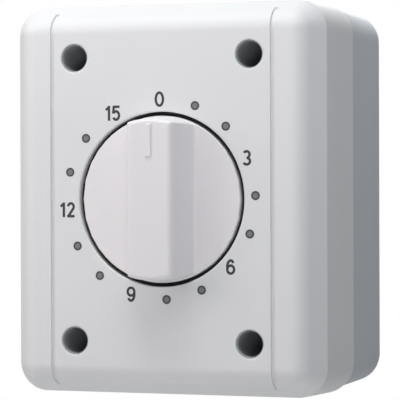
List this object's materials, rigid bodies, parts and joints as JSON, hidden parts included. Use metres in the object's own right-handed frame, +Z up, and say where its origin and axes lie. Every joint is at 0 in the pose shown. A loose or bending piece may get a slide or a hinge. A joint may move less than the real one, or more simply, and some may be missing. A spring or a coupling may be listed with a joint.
{
  "type": "timer light switch",
  "caption": "Surface-mounted run-back timer light switch: pale plastic housing, sunk winding knob with a grip bar and a minute dial, spring clockwork and cam contact inside.",
  "frame": {"origin": "centre of the flat back that lies on the wall, on the knob's axis", "axes": "+Z up, +Y into the wall, so the dial faces -Y, +X to the right as the user sees it"},
  "size_m": [0.0674, 0.0551, 0.0804],
  "materials": {
    "housing_plastic": "moulded thermoplastic, light grey white, satin gloss",
    "dark_plastic": "moulded charcoal plastic",
    "seal_rubber": "moulded black rubber",
    "plated_steel": "zinc plated",
    "spring_steel": "blued spring strip",
    "turned_brass": "turned and stamped",
    "acetal": "moulded natural acetal"
  },
  "bodies": {
    "housing": {"rear_base": "housing_plastic", "cover": "housing_plastic", "cover_seal": "seal_rubber", "cable_grommet": "seal_rubber", "blind_grommet": "seal_rubber", "sealing_sleeves": "seal_rubber", "cover_screws": "plated_steel", "mechanism_carrier": "dark_plastic", "carrier_screws": "plated_steel", "timer_front_plate": "plated_steel", "timer_rear_plate": "plated_steel", "frame_pillars": "turned_brass", "frame_screws": "plated_steel", "spindle_bush": "turned_brass", "shaft_seal": "seal_rubber", "knob_ring": "seal_rubber", "terminal_block": "dark_plastic", "terminal_clamps": "turned_brass", "terminal_screws": "plated_steel", "block_screws": "plated_steel", "moving_contact": "turned_brass", "fixed_contact": "turned_brass", "mainspring": "spring_steel"},
    "dial": {"knob": "housing_plastic", "knob_clip": "spring_steel", "spindle": "plated_steel", "main_wheel": "turned_brass", "ratchet_wheel": "plated_steel", "ratchet_click": "spring_steel", "switch_cam": "acetal"},
    "second_arbor": {"second_wheel": "acetal"},
    "escape_arbor": {"escape_wheel": "acetal"},
    "pallet_arbor": {"pallet_lever": "turned_brass"}
  },
  "joints": [
    {"name": "dial_turn", "type": "hinge", "parent": "housing", "child": "dial", "pos_m": [0, -0.03, 0], "axis": [0, 1, 0], "range_deg": [0, 330], "stiffness_Nm_per_rad": 0.006, "deforming": ["mainspring", "moving_contact"]},
    {"name": "second_spin", "type": "hinge", "parent": "housing", "child": "second_arbor", "pos_m": [0.01353, -0.02, 0.00493], "axis": [0, 1, 0], "range_deg": [-1660, 10]},
    {"name": "escape_spin", "type": "hinge", "parent": "housing", "child": "escape_arbor", "pos_m": [0.01661, -0.02, -0.00353], "axis": [0, 1, 0], "range_deg": [-10, 8260]},
    {"name": "pallet_rock", "type": "hinge", "parent": "housing", "child": "pallet_arbor", "pos_m": [0.01554, -0.025, -0.00958], "axis": [0, 1, 0], "range_deg": [-6, 6]}
  ],
  "couplings": [
    {"joint": "second_spin", "follows": "dial_turn", "ratio": -5},
    {"joint": "escape_spin", "follows": "dial_turn", "ratio": 25}
  ]
}
